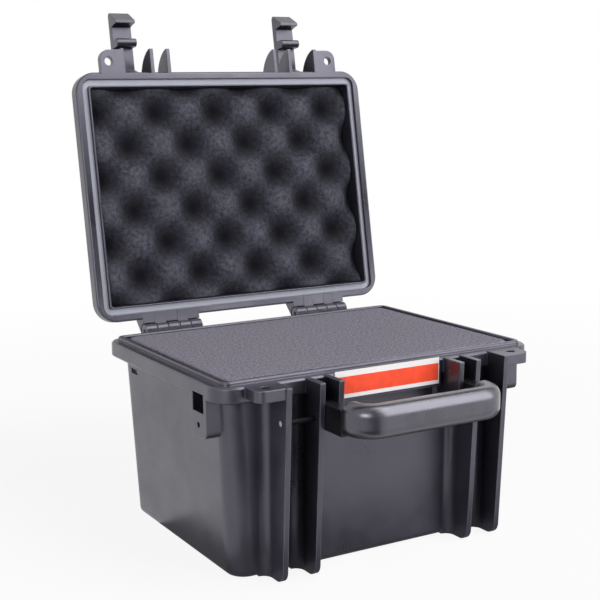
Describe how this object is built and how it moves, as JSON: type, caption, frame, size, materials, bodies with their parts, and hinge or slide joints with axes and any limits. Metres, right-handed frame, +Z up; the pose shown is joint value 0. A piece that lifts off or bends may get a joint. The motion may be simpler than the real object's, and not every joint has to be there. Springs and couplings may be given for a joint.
{
  "type": "hard case",
  "caption": "Hard plastic equipment case with a hinged lid, front latches, a folding carrying handle, a rubber lid seal, padlock tabs, pluck foam and egg-crate lid foam.",
  "frame": {"origin": "centre of the tub's flat underside", "axes": "+X to the case's right as seen from the front, +Y from the front to the hinges, +Z up"},
  "size_m": [0.27, 0.354, 0.4019],
  "materials": {
    "shell_plastic": "matte",
    "latch_plastic": "satin",
    "handle_plastic": "matte",
    "grip_rubber": "matte",
    "seal_rubber": "matte",
    "pin_steel": "satin",
    "label_film": "satin",
    "tub_foam": "matte",
    "lid_foam": "matte"
  },
  "bodies": {
    "base": {"base_shell": "shell_plastic", "front_label": "label_film", "catch_rod_left": "pin_steel", "catch_rod_right": "pin_steel", "hinge_pin_left": "pin_steel", "hinge_pin_right": "pin_steel", "foam_bottom_pad": "tub_foam", "pluck_foam_lower": "tub_foam", "pluck_foam_upper": "tub_foam"},
    "lid": {"lid_shell": "shell_plastic", "lid_seal": "seal_rubber", "lid_foam": "lid_foam", "latch_pin_left": "pin_steel", "latch_pin_right": "pin_steel"},
    "latch_left": {"latch_left": "latch_plastic"},
    "latch_right": {"latch_right": "latch_plastic"},
    "handle": {"handle_frame": "handle_plastic", "handle_grip": "grip_rubber"}
  },
  "joints": [
    {"name": "lid_hinge", "type": "hinge", "parent": "base", "child": "lid", "pos_m": [0, 0.112, 0.1412], "axis": [1, 0, 0], "range_deg": [0, 99.5]},
    {"name": "latch_left_pivot", "type": "hinge", "parent": "lid", "child": "latch_left", "pos_m": [-0.079, 0.16285, 0.34814], "axis": [1, 0, 0], "range_deg": [0, 84.5]},
    {"name": "latch_right_pivot", "type": "hinge", "parent": "lid", "child": "latch_right", "pos_m": [0.079, 0.16285, 0.34814], "axis": [1, 0, 0], "range_deg": [0, 84.5]},
    {"name": "handle_pivot", "type": "hinge", "parent": "base", "child": "handle", "pos_m": [0, -0.113, 0.115], "axis": [1, 0, 0], "range_deg": [-10, 90]}
  ]
}
